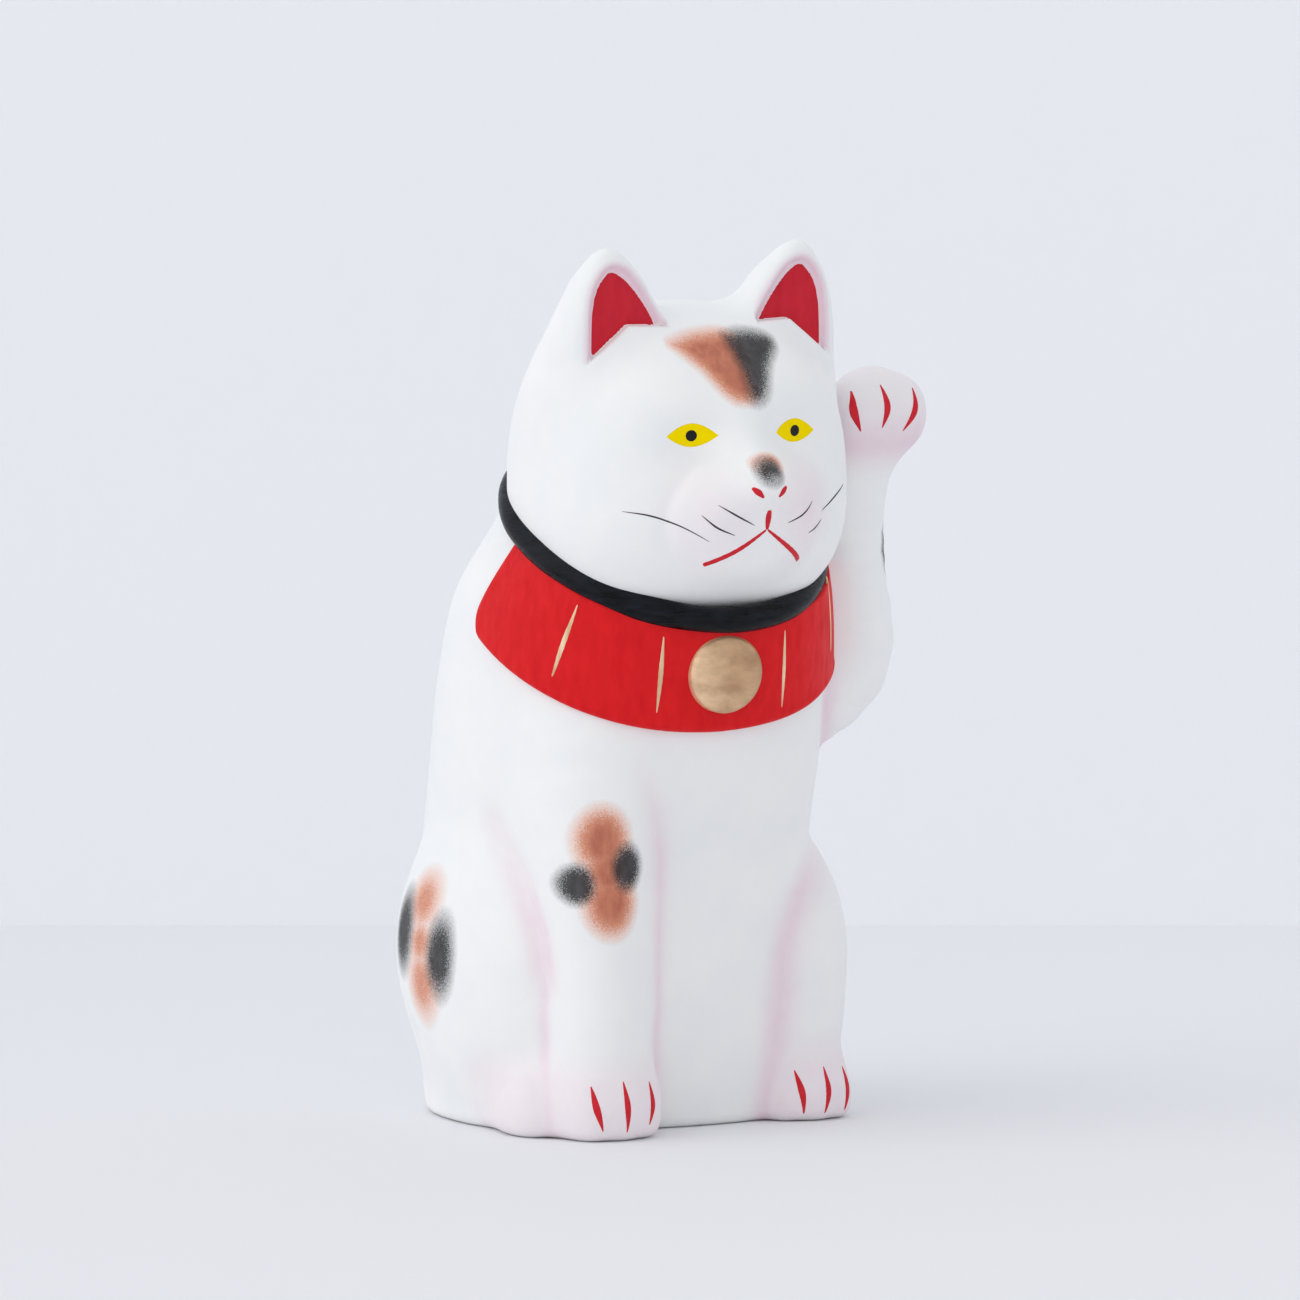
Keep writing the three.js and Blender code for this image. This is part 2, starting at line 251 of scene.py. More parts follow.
# The line along which the front of the right thigh folds into the flank.
THIGH_FOLD = [
    (-40.8, -11.4, 71.5),
    (-40.2, -13.7, 68),
    (-38.4, -18.8, 61),
    (-37.4, -24, 54),
    (-37, -29, 45),
    (-37.1, -31.2, 34),
]


def thigh_fold(p):
    """Distance to that line, less the 1 mm that stands for the brush's width."""
    return within(p, (-50, -40, 26), (-30, 0, 84), lambda q: limb(q, THIGH_FOLD, [1] * len(THIGH_FOLD)))


def rounding(name, z):
    """The width over which a limb is rounded into the body. On three of them it changes with height."""
    width = BODY_PARTS[name][3]
    if name == "standing_foreleg":
        return width + 5 * ramp(z, 14, 30) + 2 * ramp(z, 60, 80)
    if name == "raised_foreleg":
        return width - 3 * ramp(z, 106, 98)
    if name == "left_hind_leg":
        return width - 2 * ramp(z, 56, 64)
    return width


def body(p):
    gap = torso(p)
    for name in BODY_PARTS:
        gap = smooth_min(gap, body_part(name, p), rounding(name, p[:, 2]))
    gap = gap + 0.6 * fade(thigh_fold(p), 3)
    return smooth_max(gap, -p[:, 2], 3)


def swelling(p, x, z, wide, high):
    """A bump that fades away from (x, z), seen from the front."""
    return np.exp(-np.abs((p[:, 0] - x) / wide) ** 2 - np.abs((p[:, 2] - z) / high) ** 2)


def face_relief(p):
    """How far the modelled features stand proud of the skull's front."""
    muzzle = np.exp(-((((p[:, 0] / 17.8) ** 2 + ((p[:, 2] - 145) / 14.9) ** 2)) ** 2.3))
    groove = 0.9 * fade(muzzle - 0.16, 0.1)
    groove *= ramp(p[:, 2], 134, 142) * ramp(p[:, 2], 165, 153)
    muzzle = 9.3 * muzzle - groove
    nose = 4.4 * swelling(p, 0, 158, 7.5, 8.5)
    bridge = 2.5 * swelling(p, 0, 169, 6.5, 11)
    relief = muzzle + nose + bridge
    for side in (-1, 1):
        relief -= 1.7 * swelling(p, 12.5 * side, 161.5, 7.5, 6.5)
        relief += 1.0 * swelling(p, 15 * side, 173, 11, 6)
        relief += 1.1 * swelling(p, 22 * side, 148, 9, 11)
    return relief


def skull(p):
    q = p - HEAD_CENTRE.astype(p.dtype)
    out = np.stack(
        [
            np.full(len(p), HEAD_SIDE, p.dtype),
            np.where(q[:, 1] < 0, HEAD_FRONT, HEAD_BACK),
            np.where(q[:, 2] < 0, HEAD_UNDER, HEAD_TOP),
        ],
        1,
    )
    length = np.sqrt((q * q).sum(1)) + 1e-6
    reach = (np.abs(q / out) ** HEAD_POWER).sum(1) ** (1 / HEAD_POWER) + 1e-6
    facing = np.clip(-q[:, 1] / length * 2, 0, 1)
    return length * (1 - 1 / reach) - face_relief(p) * facing * np.clip(-q[:, 1] / length, 0, 1)


def polygon_gap(u, v, corners):
    """Signed distance to a closed polygon in the plane: negative inside."""
    corners = np.asarray(corners, float)
    best = np.full(len(u), 1e9)
    inside = np.zeros(len(u), bool)
    for (ax, ay), (bx, by) in zip(corners, np.roll(corners, -1, 0)):
        ex, ey = bx - ax, by - ay
        t = np.clip(((u - ax) * ex + (v - ay) * ey) / (ex * ex + ey * ey), 0, 1)
        best = np.minimum(best, np.hypot(u - ax - t * ex, v - ay - t * ey))
        crosses = (ay > v) != (by > v)
        inside ^= crosses & (u < ax + (v - ay) * ex / (ey if ey else 1e-9))
    return np.where(inside, -best, best)


# The hollow in an ear's front, seen from the front: its outer rim at the ear's face, from its inner foot over the
# tip to its outer foot, and the three points of the forehead's edge, which stands in front of it.
EAR_RIM = curve_points(
    [(10.4, 178), (11.6, 189.2), (15.8, 197.2), (21.2, 203.3), (26.8, 203.4), (31.0, 195.6), (31.7, 178)],
    25,
)
EAR_LIP = [(12.4, 189.1), (20.9, 189.5), (30.6, 181.4)]
EAR_FACE = -41.8  # y of the ears' flat front
EAR_DEPTH = 2.0
EAR_BEVEL = 0.9
EAR_TOP = 207.6
EAR_TIP = 198  # above this height an ear narrows faster

# An ear from its root up: height, centre across, centre in y, radius.
EAR = np.array(
    [
        (146, 14, -22, 13.0),
        (160, 17.4, -23.4, 17.2),
        (172, 19.7, -25.8, 18.2),
        (181, 20.9, -28.7, 16.3),
        (186, 21.9, -31.2, 14.3),
        (191, 22.5, -33.3, 12.4),
        (196, 23.1, -35.0, 10.3),
        (200.5, 23.6, -36.1, 8.0),
        (205.5, 24.4, -37.6, 3.9),
        (208.2, 24.7, -37.9, 1.0),
    ],
    float,
)


def ear_solid(p, side):
    q = paired(p, side)
    z = np.clip(q[:, 2], EAR[0, 0], EAR[-1, 0])
    fine = curve_points(EAR, 73)
    across, back, radius = (np.interp(z, fine[:, 0], fine[:, i]).astype(p.dtype) for i in (1, 2, 3))
    gap = np.hypot(q[:, 0] - across, q[:, 1] - back) - radius
    slope = np.where(z > EAR_TIP, 1.25, 1.1)
    return smooth_max(gap / slope, q[:, 2] - EAR_TOP, 2.5)


def above_lip(q):
    """Negative over the forehead's edge, which has a corner in it that points up."""
    gaps = []
    for (ax, az), (bx, bz) in zip(EAR_LIP[:-1], EAR_LIP[1:]):
        length = math.hypot(bx - ax, bz - az)
        gaps.append(((q[:, 0] - ax) * (bz - az) - (q[:, 2] - az) * (bx - ax)) / length)
    return np.minimum(*gaps)


def ear_hollow(p, side):
    """A shallow dish with bevelled sides. Where the forehead stands in front of it, its side is straight."""
    q = paired(p, side)
    return within(q, (10, -44, 178), (32, -38, 205), dished)


def dished(q):
    depth = q[:, 1] - EAR_FACE
    dish = polygon_gap(q[:, 0], q[:, 2], EAR_RIM) + EAR_BEVEL * np.maximum(depth, 0)
    dish = np.maximum(dish, above_lip(q))
    return smooth_max(dish, depth - EAR_DEPTH, 0.5)


def head(p):
    gap = skull(p)
    for side in (-1, 1):
        front = EAR_FACE - p[:, 1]
        ear = smooth_max(ear_solid(p, side), front, 3)
        gap = smooth_min(gap, ear, 6)
    for side in (-1, 1):
        gap = smooth_max(gap, -ear_hollow(p, side), 0.5)
    return gap


def gradient(field, p, step=0.05):
    """Unit normals and slopes of a field, from four samples around each point."""
    corners = np.array([(1, -1, -1), (-1, -1, 1), (-1, 1, -1), (1, 1, 1)], float)
    total = np.zeros_like(p)
    for corner in corners:
        total += corner * field(p + corner * step)[:, None]
    total /= 4 * step
    slope = np.linalg.norm(total, axis=1) + 1e-9
    return total / slope[:, None], slope


def settle(field, p, rounds=4):
    """Moves points straight onto the field's surface."""
    for _ in range(rounds):
        normal, slope = gradient(field, p)
        p = p - normal * np.clip(field(p) / slope, -2, 2)[:, None]
    return p


# ---------------------------------------------------------------- meshes from fields


COARSER = 4  # how many grid steps a coarse step takes
BAND = 5.5  # how many grid steps from the surface the fine values are worked out


def sampled(field, axes):
    """A field's values on a grid. Away from the surface the values of a coarser grid stand in for them."""
    coarse = [a[::COARSER] for a in axes]
    places = np.stack(np.meshgrid(*coarse, indexing="ij"), -1).reshape(-1, 3)
    rough = field(places).reshape([len(a) for a in coarse])
    shifted = [(np.arange(len(a)) + COARSER // 2) // COARSER for a in axes]
    nearest = [np.minimum(steps, len(c) - 1) for steps, c in zip(shifted, coarse)]
    values = rough[np.ix_(*nearest)]
    step = axes[0][1] - axes[0][0]
    band = np.argwhere(np.abs(values) < BAND * step)
    points = np.stack([a[band[:, i]] for i, a in enumerate(axes)], 1)
    values[tuple(band.T)] = field(points)
    return values


def surface_net(field, low, high, step):
    """Vertices and quads where a field crosses zero: one vertex in each crossed cell of a grid."""
    axes = [np.arange(a, b + step, step, dtype=np.float32) for a, b in zip(low, high)]
    shape = [len(a) for a in axes]
    values = sampled(field, axes)
    inside = values < 0
    corners = [(i, j, k) for i in (0, 1) for j in (0, 1) for k in (0, 1)]
    cells = tuple(n - 1 for n in shape)
    filled = np.zeros(cells, np.int8)
    for i, j, k in corners:
        filled += inside[i : i + cells[0], j : j + cells[1], k : k + cells[2]]
    crossed = (filled > 0) & (filled < 8)
    cell = np.argwhere(crossed)
    number = np.full(cells, -1, np.int64)
    number[crossed] = np.arange(len(cell))
    total = np.zeros((len(cell), 3))
    count = np.zeros(len(cell))
    for a in corners:
        for axis in range(3):
            if a[axis]:
                continue
            b = list(a)
            b[axis] = 1
            va = values[tuple((cell + a).T)]
            vb = values[tuple((cell + b).T)]
            hit = (va < 0) != (vb < 0)
            t = np.where(hit, va / np.where(hit, va - vb, 1), 0)
            place = np.tile(np.array(a, float), (len(cell), 1))
            place[:, axis] = t
            total[hit] += place[hit]
            count[hit] += 1
    vertices = (cell + total / count[:, None]) * step + np.array([a[0] for a in axes])
    quads = []
    for axis in range(3):
        u, v = (axis + 1) % 3, (axis + 2) % 3
        near = [slice(None)] * 3
        far = [slice(None)] * 3
        near[axis], far[axis] = slice(0, -1), slice(1, None)
        start = np.argwhere(inside[tuple(near)] != inside[tuple(far)])
        start = start[(start[:, u] > 0) & (start[:, v] > 0)]
        start = start[(start[:, u] < cells[u]) & (start[:, v] < cells[v])]
        leaving = inside[tuple(start.T)]
        around = []
        for du, dv in ((-1, -1), (0, -1), (0, 0), (-1, 0)):
            c = start.copy()
            c[:, u] += du
            c[:, v] += dv
            around.append(number[tuple(c.T)])
        quad = np.stack(around, 1)
        quads.append(np.where(leaving[:, None], quad, quad[:, ::-1]))
    return vertices, np.vstack(quads)


def relaxed(field, vertices, quads, rounds=3, pull=0.6):
    """Evens out a mesh along its surface, and puts it back on the surface each time."""
    edges = np.vstack([quads[:, [i, (i + 1) % 4]] for i in range(4)])
    vertices = settle(field, vertices, 2)
    for _ in range(rounds):
        total = np.zeros_like(vertices)
        count = np.zeros(len(vertices))
        for a, b in ((0, 1), (1, 0)):
            for axis in range(3):
                total[:, axis] += np.bincount(edges[:, a], vertices[edges[:, b], axis], len(vertices))
            count += np.bincount(edges[:, a], minlength=len(vertices))
        middle = total / count[:, None]
        vertices = settle(field, vertices + pull * (middle - vertices), 1)
    return settle(field, vertices, 2)


def triangles_of(vertices, quads):
    """Splits each quad along its shorter diagonal."""
    first = np.linalg.norm(vertices[quads[:, 0]] - vertices[quads[:, 2]], axis=1)
    second = np.linalg.norm(vertices[quads[:, 1]] - vertices[quads[:, 3]], axis=1)
    short = (first <= second)[:, None]
    one = np.where(short, quads[:, [0, 1, 2]], quads[:, [0, 1, 3]])
    two = np.where(short, quads[:, [0, 2, 3]], quads[:, [1, 2, 3]])
    return np.vstack([one, two])


def split(vertices, triangles, value, snap=0.12):
    """Cuts a mesh where value, given at each vertex, is zero: gives the vertices and each side's triangles.

    A cut that would pass within snap, as a share of an edge, from a vertex goes through that vertex instead.
    """
    value = value.copy()
    for a, b in ((0, 1), (1, 2), (2, 0)):
        va, vb = value[triangles[:, a]], value[triangles[:, b]]
        hit = va * vb < 0
        share = np.where(hit, va / np.where(hit, va - vb, 1), 0.5)
        value[triangles[hit & (share < snap), a]] = 0
        value[triangles[hit & (share > 1 - snap), b]] = 0
    sign = np.sign(value[triangles]).astype(int)
    below = triangles[(sign <= 0).all(1) & (sign < 0).any(1)].tolist()
    above = triangles[(sign >= 0).all(1) & (sign > 0).any(1)].tolist()
    added, made = [], {}

    def crossing(a, b):
        key = (min(a, b), max(a, b))
        if key not in made:
            t = value[key[0]] / (value[key[0]] - value[key[1]])
            made[key] = len(vertices) + len(added)
            added.append(vertices[key[0]] * (1 - t) + vertices[key[1]] * t)
        return made[key]

    for triangle in triangles[(sign < 0).any(1) & (sign > 0).any(1)].tolist():
        for wanted, kept in ((-1, below), (1, above)):
            ring = []
            for a, b in zip(triangle, triangle[1:] + triangle[:1]):
                if value[a] * wanted >= 0:
                    ring.append(a)
                if value[a] * value[b] < 0:
                    ring.append(crossing(a, b))
            kept.extend([ring[0], ring[i], ring[i + 1]] for i in range(1, len(ring) - 1))
    if added:
        vertices = np.vstack([vertices, added])
    return vertices, np.array(below, int).reshape(-1, 3), np.array(above, int).reshape(-1, 3)


def compact(vertices, triangles):
    """Drops the vertices that no triangle uses."""
    used, triangles = np.unique(triangles, return_inverse=True)
    return vertices[used], triangles.reshape(-1, 3)


def boundary_edges(triangles):
    """Edges that only one triangle uses, in that triangle's direction."""
    edges = np.vstack([triangles[:, [i, (i + 1) % 3]] for i in range(3)])
    keys = np.sort(edges, 1)
    _, index, count = np.unique(keys, axis=0, return_index=True, return_counts=True)
    return edges[index[count == 1]]


def closed_shell(vertices, triangles, normals, thickness):
    """Gives an open skin an inner wall and rims. Returns its vertices, triangles and corner normals."""
    count = len(vertices)
    inner = vertices - normals * thickness
    rim = boundary_edges(triangles)
    a, b = rim.T
    sides = np.vstack([np.stack([b, a, a + count], 1), np.stack([b, a + count, b + count], 1)])
    points = np.vstack([vertices, inner])
    faces = np.vstack([triangles, triangles[:, ::-1] + count, sides])
    first, second, third = (points[sides[:, i]] for i in range(3))
    side_normals = np.cross(second - first, third - first)
    side_normals /= np.linalg.norm(side_normals, axis=1)[:, None] + 1e-12
    corner_normals = np.concatenate(
        [normals[triangles], -normals[triangles[:, ::-1]], np.repeat(side_normals[:, None], 3, 1)]
    )
    return points, faces, corner_normals


def make_object(name, points, faces, material, corner_normals=None, attributes=None):
    """A mesh object in metres, riding on the cat's one body."""
    mesh = bpy.data.meshes.new(name)
    faces = faces.tolist() if isinstance(faces, np.ndarray) else faces
    mesh.from_pydata((np.asarray(points) * MM).tolist(), [], faces)
    mesh.polygons.foreach_set("use_smooth", [True] * len(mesh.polygons))
    for key, values in (attributes or {}).items():
        layer = mesh.attributes.new(key, "FLOAT", "POINT")
        layer.data.foreach_set("value", np.asarray(values, np.float32))
    if corner_normals is not None:
        mesh.normals_split_custom_set(np.asarray(corner_normals).reshape(-1, 3).tolist())
    mesh.materials.append(material)
    made = bpy.data.objects.new(name, mesh)
    bpy.context.scene.collection.objects.link(made)
    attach(made, "root")
    return made


# ---------------------------------------------------------------- material helpers


class Nodes:
    """A short way to write a node tree."""

    def __init__(self, name):
        self.material = bpy.data.materials.new(name)
        self.material.use_nodes = True
        self.tree = self.material.node_tree
        self.shader = self.tree.nodes["Principled BSDF"]

    def add(self, kind, inputs=None, **settings):
        node = self.tree.nodes.new(kind)
        for key, value in settings.items():
            setattr(node, key, value)
        for key, value in (inputs or {}).items():
            self.put(node.inputs[key], value)
        return node

    def put(self, socket, value):
        if isinstance(value, bpy.types.NodeSocket):
            self.tree.links.new(value, socket)
        else:
            socket.default_value = value

    def position(self):
        return self.add("ShaderNodeTexCoord").outputs["Object"]

    def noise(self, scale, detail=3, vector=None, roughness=0.55):
        inputs = {"Scale": scale, "Detail": detail, "Roughness": roughness, "Vector": vector or self.position()}
        return self.add("ShaderNodeTexNoise", inputs).outputs["Fac"]

    def stretched(self, scale):
        inputs = {"Vector": self.position(), "Scale": scale}
        return self.add("ShaderNodeMapping", inputs).outputs["Vector"]

    def math(self, operation, a, b=0.0, clamp=False):
        node = self.add("ShaderNodeMath", {0: a, 1: b}, operation=operation)
        node.use_clamp = clamp
        return node.outputs[0]

    def spread(self, value, low, high, to_low=0.0, to_high=1.0):
        inputs = {"Value": value, "From Min": low, "From Max": high, "To Min": to_low, "To Max": to_high}
        return self.add("ShaderNodeMapRange", inputs).outputs[0]

    def mix(self, share, a, b):
        node = self.add("ShaderNodeMix", data_type="RGBA")
        self.put(node.inputs[0], share)
        self.put(node.inputs[6], a)
        self.put(node.inputs[7], b)
        return node.outputs[2]

    def attribute(self, name):
        return self.add("ShaderNodeAttribute", attribute_name=name).outputs["Fac"]

    def bump(self, height, strength, distance):
        inputs = {"Height": height, "Strength": strength, "Distance": distance}
        self.put(self.shader.inputs["Normal"], self.add("ShaderNodeBump", inputs).outputs["Normal"])

    def set(self, **inputs):
        for key, value in inputs.items():
            self.put(self.shader.inputs[key.replace("_", " ")], value)


def srgb(red, green, blue):
    """A colour given as 0 to 255 screen values, as the linear colour that a shader takes."""
    shares = [c / 255 for c in (red, green, blue)]
    linear = [c / 12.92 if c <= 0.04045 else ((c + 0.055) / 1.055) ** 2.4 for c in shares]
    return (*linear, 1)


GROUND, GROUND_SHADE = srgb(249, 249, 248), srgb(244, 245, 246)
BLUSH = srgb(236, 196, 214)
BROWN, BROWN_SHADE, BROWN_RIM = srgb(202, 120, 88), srgb(184, 100, 74), srgb(238, 160, 122)
BLACK, BLACK_SHADE = srgb(40, 39, 42), srgb(62, 61, 64)
# a paler gold, used for a painted highlight on the bell
GOLD_PAINTED_HIGHLIGHT = srgb(248, 214, 174)


def sprayed(nodes, colour, name, paint, grain):
    """Lays a sprayed patch over a colour: solid in the middle, and a scatter of specks at its edge."""
    amount = nodes.attribute(name)
    specks = nodes.spread(grain, 0.34, 0.66, 0.67, 1.33)
    share = nodes.spread(nodes.math("MULTIPLY", amount, specks), 0.05, 0.62)
    return nodes.mix(nodes.math("MULTIPLY", share, 0.97), colour, paint)


def white_ground():
    """Chalky white ground coat with a pink blush in its creases and brown and black patches sprayed on it."""
    nodes = Nodes("white_ground")
    grain = nodes.noise(3600, 2)
    mottle = nodes.noise(60, 4)
    brushed = nodes.noise(420, 3, nodes.stretched((1.3, 1.3, 0.5)))
    colour = nodes.mix(nodes.spread(mottle, 0.35, 0.7), GROUND, GROUND_SHADE)
    uneven = nodes.spread(nodes.noise(300, 3), 0.3, 0.7, 0.9, 1.06)
    blush = nodes.math("MULTIPLY", nodes.attribute("blush"), uneven)
    colour = nodes.mix(nodes.math("MULTIPLY", blush, 0.55, clamp=True), colour, BLUSH)
    brown = nodes.mix(nodes.spread(brushed, 0.35, 0.65), BROWN, BROWN_SHADE)
    brown = nodes.mix(nodes.spread(nodes.attribute("brown"), 0.3, 0.95), BROWN_RIM, brown)
    black = nodes.mix(nodes.spread(brushed, 0.35, 0.65), BLACK, BLACK_SHADE)
    colour = sprayed(nodes, colour, "brown", brown, grain)
    colour = sprayed(nodes, colour, "black", black, grain)
    nodes.set(Base_Color=colour, Roughness=nodes.spread(mottle, 0.3, 0.7, 0.6, 0.72))
    nodes.shader.inputs["Specular IOR Level"].default_value = 0.35
    chalk = nodes.math("MULTIPLY", nodes.noise(900, 3), 0.5)
    lumps = nodes.math("MULTIPLY", nodes.noise(75, 2), 3.0)
    height = nodes.math("ADD", nodes.math("MULTIPLY", brushed, 0.5), chalk)
    nodes.bump(nodes.math("ADD", height, lumps), 0.10, 0.0006)
    return nodes.material


def painted(name, colour, shade, roughness=0.5, streak=(1, 1, 1), scale=500, bump=0.15, gloss=0.2):
    """Brushed paint of one colour, with streaks of a second shade in it."""
    nodes = Nodes(name)
    nodes.shader.inputs["Specular IOR Level"].default_value = gloss
    streaks = nodes.noise(scale, 4, nodes.stretched(streak))
    nodes.set(Base_Color=nodes.mix(nodes.spread(streaks, 0.35, 0.68), colour, shade))
    nodes.set(Roughness=nodes.spread(streaks, 0.3, 0.7, roughness - 0.06, roughness + 0.1))
    nodes.bump(streaks, bump, 0.0004)
    return nodes.material


WHITE = white_ground()
# the bluish grey streaks in the collar's black are partly brush marks and partly a painted sheen of streaky
# highlights
COLLAR_PAINT = painted(
    "black_collar", srgb(3, 5, 8), srgb(22, 27, 35), 0.3, (0.7, 0.7, 3), 230, 0.8, 0.15
)
BIB_PAINT = painted("red_bib", srgb(228, 20, 26), srgb(216, 13, 22), 0.55, (1, 1, 0.35), 420, 0.12)
EYE_YELLOW = painted("eye_yellow", srgb(255, 228, 0), srgb(252, 220, 0), 0.6, gloss=0.03)
PUPIL_BLACK = painted("pupil_black", srgb(18, 18, 20), srgb(30, 30, 34), 0.35)
STROKE_RED = painted("stroke_red", srgb(216, 38, 52), srgb(204, 30, 44), 0.5)
EAR_RED = painted("ear_red", srgb(211, 34, 52), srgb(199, 28, 45), 0.55, (1, 1, 0.4), 300)
WHISKER_BLACK = painted("whisker_black", srgb(34, 34, 38), srgb(70, 70, 74), 0.5)


def gold_paint(name, colour, shade, streak=(1, 1, 1), metallic=0.4):
    """Gold paint laid on with a coarse brush, with a paler painted highlight where a mesh's attribute asks for it.
    """
    nodes = Nodes(name)
    streaks = nodes.noise(170, 5, nodes.stretched(streak))
    paint = nodes.mix(nodes.spread(streaks, 0.38, 0.66), colour, shade)
    highlight_share = nodes.math("MULTIPLY", nodes.attribute("painted_highlight"), nodes.spread(streaks, 0.36, 0.66, 0.85, 0.3))
    nodes.set(Base_Color=nodes.mix(highlight_share, paint, GOLD_PAINTED_HIGHLIGHT))
    nodes.set(Roughness=nodes.spread(streaks, 0.3, 0.7, 0.36, 0.5))
    nodes.shader.inputs["Metallic"].default_value = metallic
    nodes.bump(streaks, 0.16, 0.0006)
    return nodes.material


BELL_GOLD = gold_paint("bell_gold", srgb(208, 168, 130), srgb(184, 144, 108), (1, 1, 1.8))
STROKE_GOLD = gold_paint("stroke_gold", srgb(248, 220, 184), srgb(214, 174, 132), (3, 3, 0.4), 0.2)


def bare_clay():
    """Fired clay with no paint on it: warm brown, with sand grains and smears of the white ground."""
    nodes = Nodes("bare_clay")
    grains = nodes.noise(900, 4)
    smear = nodes.noise(45, 5)
    colour = nodes.mix(nodes.spread(grains, 0.35, 0.7), srgb(196, 150, 116), srgb(160, 112, 82))
    colour = nodes.mix(nodes.spread(smear, 0.56, 0.7, 0, 0.6), colour, srgb(232, 226, 218))
    nodes.set(Base_Color=colour, Roughness=0.85)
    nodes.bump(grains, 0.5, 0.0005)
    return nodes.material


BARE = bare_clay()


# ---------------------------------------------------------------- soft paint, as fields over the skin


def crease(a, b, width, reach=5.0):
    """Strong where two fields meet and both surfaces are near."""
    return fade(a - b, width) * fade(np.maximum(np.abs(a), np.abs(b)), reach)


def oval(p, centre, size, soft=0.5):
    """A soft-edged oval on the skin: the centre is in space, and size is across, up and through."""
    q = p - np.array(centre, float)
    r = np.sqrt((q[:, 0] / size[0]) ** 2 + (q[:, 2] / size[1]) ** 2 + (q[:, 1] / size[2]) ** 2)
    return np.clip((1 + 0.6 * soft - r) / (2 * soft), 0, 1)


def most(*values):
    """The strongest of several paints at each point."""
    return np.maximum.reduce(values)


def patch(p, corners, soft):
    """A soft-edged patch seen from the front: 1 inside the corners (x, z), falling to 0 over a soft width."""
    return np.clip(0.5 - polygon_gap(p[:, 0], p[:, 2], corners) / soft, 0, 1)


def four_dots(p, top, bottom, front, back, sizes):
    """Two brown dots that touch, one above the other, with a black dot on each side of their waist.

    sizes holds the dots' sizes in the same order as their places.
    """
    waist = [(a + b) / 2 for a, b in zip(top, bottom)]
    waist_size = [0.8 * size for size in sizes[0]]
    brown = most(oval(p, top, sizes[0]), oval(p, bottom, sizes[1]), oval(p, waist, waist_size))
    black = most(oval(p, front, sizes[2]), oval(p, back, sizes[3]))
    return brown, black


def body_blush(p):
    """Pink in the creases where the limbs meet the torso, on the three paws and on the raised paw's palm."""
    x, y, z = p.T
    trunk = torso(p)
    leg, left, right, raised, _ = (body_part(name, p) for name in BODY_PARTS)
    front = ramp(y, -6, -18)
    low = ramp(z, 22, 13) * front
    inner_side = ramp(x, -22, -16)
    return most(
        crease(trunk, leg, 4.0) * ramp(z, 98, 68) * inner_side,
        crease(trunk, left, 4.5) * ramp(z, 68, 54) * front,
        0.8 * crease(np.minimum(trunk, leg), right, 2.8) * ramp(z, 50, 40) * front,
        fade(thigh_fold(p), 3.4) * (0.3 + 0.5 * ramp(z, 66, 50)) * ramp(z, 30, 40),
        crease(trunk, raised, 3.6) * ramp(y, -2, -10),
        0.5 * fade(leg, 1.5) * low,
        0.6 * fade(left, 1.5) * low,
        0.5 * fade(right, 1.5) * low,
        (0.35 + 0.6 * fade(z - 157, 7)) * fade(raised, 2) * ramp(z, 149, 157),
    )


def body_paint(p):
    shin = four_dots(
        p,
        (-28.4, -43, 70.0),
        (-26.7, -45, 55.6),
        (-33.7, -41, 59.9),
        (-22.8, -45, 63.8),
        [(6.2, 8.1, 15), (6.2, 8.1, 15), (3.5, 4.7, 12), (3.8, 5.5, 12)],
    )
    flank = four_dots(
        p,
        (-49, 6.4, 52),
        (-51, 4.4, 32.8),
        (-51, -3.4, 40),
        (-50, 16.5, 44),
        [(15, 7.7, 8), (15, 9.3, 7.8), (15, 10, 5.6), (15, 10, 6.8)],
    )
    arm = four_dots(
        p,
        (56, -18, 141),
        (58, -15, 127),
        (57, -24, 133),
        (58, -8, 134),
        [(15, 6, 6.5), (15, 6.5, 7), (8, 6, 3.6), (15, 6, 5)],
    )
    brown = most(shin[0], 0.62 * flank[0], arm[0])
    black = most(shin[1], 0.84 * flank[1], arm[1])
    return {"blush": body_blush(p), "brown": brown, "black": black}


# The brown and the black patch on the forehead, seen from the front.
FOREHEAD_BROWN = curve_points(
    [(-12.8, 185.4), (-6, 187.2), (2.4, 186.6), (3.2, 178), (2, 173.6), (-3.2, 173.8), (-8.0, 180.2)],
    22,
)
FOREHEAD_BLACK = curve_points(
    [(0.6, 186.4), (6, 187.2), (12.4, 185.2), (8.6, 180.6), (5.4, 173.4), (1.4, 173), (1.6, 179)],
    22,
)


def head_blush(p):
    """Pink on both sides of the muzzle, and round the rims of the ears' hollows."""
    cheeks = []
    for x, strength in ((-12, 0.5), (12, 0.75)):
        cheeks.append(strength * oval(p, (x, -66, 147.5), (10, 11, 20), 0.7))
    ears = []
    for side in (-1, 1):
        q = paired(p, side)
        rim = patch(q, EAR_RIM, 1.6)
        ears.append(rim * (np.abs(q[:, 1] - EAR_FACE) < 3) * (above_lip(q) < -0.4))
    return most(most(*cheeks) * ramp(p[:, 1], -40, -46), 1.25 * most(*ears))


def head_paint(p):
    """The forehead's patches, and the black nose with a brown rim above it, which a scuff has rubbed pale."""
    front = ramp(p[:, 1], -40, -46)
    nose = oval(p, (0.5, -71, 157.2), (3.8, 3.5, 7))
    scuff = oval(p, (0.8, -72, 156.2), (1.8, 1.5, 7), 0.8)
    bridge = oval(p, (1.0, -70, 158.8), (4.4, 2.5, 9))
    thinning = 0.72 + 0.28 * ramp(p[:, 2], 173, 182)
    brown = most(patch(p, FOREHEAD_BROWN, 5), bridge * (1 - 0.8 * nose))
    black = most(thinning * patch(p, FOREHEAD_BLACK, 5), 0.84 * nose * (1 - 0.5 * scuff))
    return {"blush": head_blush(p), "brown": brown * front, "black": black * front}


# ---------------------------------------------------------------- clay skin pieces


